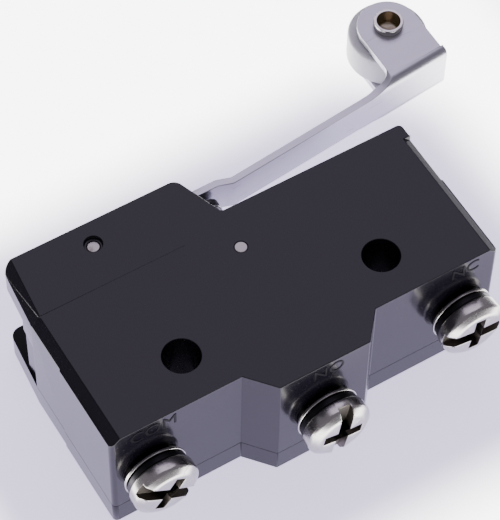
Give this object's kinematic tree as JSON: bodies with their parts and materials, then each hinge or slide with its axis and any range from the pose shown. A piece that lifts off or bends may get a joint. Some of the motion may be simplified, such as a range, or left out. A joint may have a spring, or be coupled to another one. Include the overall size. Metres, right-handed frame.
{
  "type": "hinge roller lever micro switch",
  "caption": "Snap-action micro switch in glossy black plastic with a hinged steel roller lever, plunger with its return spring, screw terminals and a working contact set inside.",
  "frame": {"origin": "midway between the two mounting holes, on the back face", "axes": "+X along the case from the hinge end towards the roller end, +Y from the terminals towards the lever, +Z from the back cover towards the front face"},
  "size_m": [0.063, 0.0483, 0.0174],
  "materials": {
    "case_plastic": "moulded near-black thermoset plastic, glossy with faint flow lines",
    "lever_steel": "satin rolled stainless sheet with paler sheared edges",
    "roller_plastic": "off-white nylon, turned, slightly waxy",
    "plunger_plastic": "dark moulded plastic",
    "bright_nickel": "bright nickel plate over steel",
    "washer_nickel": "nickel plate, tumbled",
    "lock_steel": "dark oiled spring steel",
    "spring_steel": "drawn spring wire",
    "terminal_brass": "plain stamped brass",
    "blade_bronze": "thin rolled beryllium copper",
    "contact_silver": "silver alloy, pressed"
  },
  "bodies": {
    "case": {"case": "case_plastic", "back_cover": "case_plastic", "hinge_pin": "bright_nickel", "cover_pin": "bright_nickel", "com_terminal": "terminal_brass", "no_terminal": "terminal_brass", "nc_terminal": "terminal_brass", "no_contact": "contact_silver", "nc_contact": "contact_silver"},
    "lever": {"lever": "lever_steel", "roller_rivet": "bright_nickel"},
    "roller": {"roller": "roller_plastic"},
    "plunger": {"plunger": "plunger_plastic", "return_spring": "spring_steel", "overtravel_spring": "spring_steel"},
    "blade": {"snap_blade": "blade_bronze", "moving_contact": "contact_silver"},
    "com_washers": {"com_washer": "washer_nickel", "com_lock_washer": "lock_steel"},
    "com_screw": {"com_screw": "bright_nickel"},
    "no_washers": {"no_washer": "washer_nickel", "no_lock_washer": "lock_steel"},
    "no_screw": {"no_screw": "bright_nickel"},
    "nc_washers": {"nc_washer": "washer_nickel", "nc_lock_washer": "lock_steel"},
    "nc_screw": {"nc_screw": "bright_nickel"}
  },
  "joints": [
    {"name": "lever_swing", "type": "hinge", "parent": "case", "child": "lever", "pos_m": [-0.0138, 0.0174, 0.0084], "axis": [0, 0, -1], "range_deg": [0, 9], "stiffness_Nm_per_rad": 0.15, "springref_deg": -14.32},
    {"name": "roller_spin", "type": "hinge", "parent": "lever", "child": "roller", "pos_m": [0.03355, 0.03038, 0.0084], "axis": [0, 0, 1], "continuous": true},
    {"name": "plunger_slide", "type": "slide", "parent": "case", "child": "plunger", "axis": [0, -1, 0], "range_m": [0, 0.0026], "deforming": ["return_spring", "overtravel_spring"]},
    {"name": "blade_flex", "type": "hinge", "parent": "case", "child": "blade", "pos_m": [-0.0176, 0.0066, 0.0084], "axis": [0, 0, -1], "range_deg": [0, 0.9]},
    {"name": "com_screw_lift", "type": "slide", "parent": "case", "child": "com_washers", "axis": [0, -1, 0], "range_m": [0, 0.0028]},
    {"name": "com_screw_turn", "type": "hinge", "parent": "com_washers", "child": "com_screw", "pos_m": [-0.0198, -0.00756, 0.00873], "axis": [0, -1, 0], "range_deg": [0, 1440]},
    {"name": "no_screw_lift", "type": "slide", "parent": "case", "child": "no_washers", "axis": [0, -1, 0], "range_m": [0, 0.0028]},
    {"name": "no_screw_turn", "type": "hinge", "parent": "no_washers", "child": "no_screw", "pos_m": [0, -0.01084, 0.00873], "axis": [0, -1, 0], "range_deg": [0, 1440]},
    {"name": "nc_screw_lift", "type": "slide", "parent": "case", "child": "nc_washers", "axis": [0, -1, 0], "range_m": [0, 0.0028]},
    {"name": "nc_screw_turn", "type": "hinge", "parent": "nc_washers", "child": "nc_screw", "pos_m": [0.0198, -0.00756, 0.00873], "axis": [0, -1, 0], "range_deg": [0, 1440]}
  ],
  "couplings": [
    {"joint": "plunger_slide", "follows": "lever_swing", "m_per_rad": 0.0161},
    {"joint": "blade_flex", "follows": "lever_swing", "ratio": 0.095},
    {"joint": "com_screw_turn", "follows": "com_screw_lift", "rad_per_m": 8976},
    {"joint": "no_screw_turn", "follows": "no_screw_lift", "rad_per_m": 8976},
    {"joint": "nc_screw_turn", "follows": "nc_screw_lift", "rad_per_m": 8976}
  ]
}
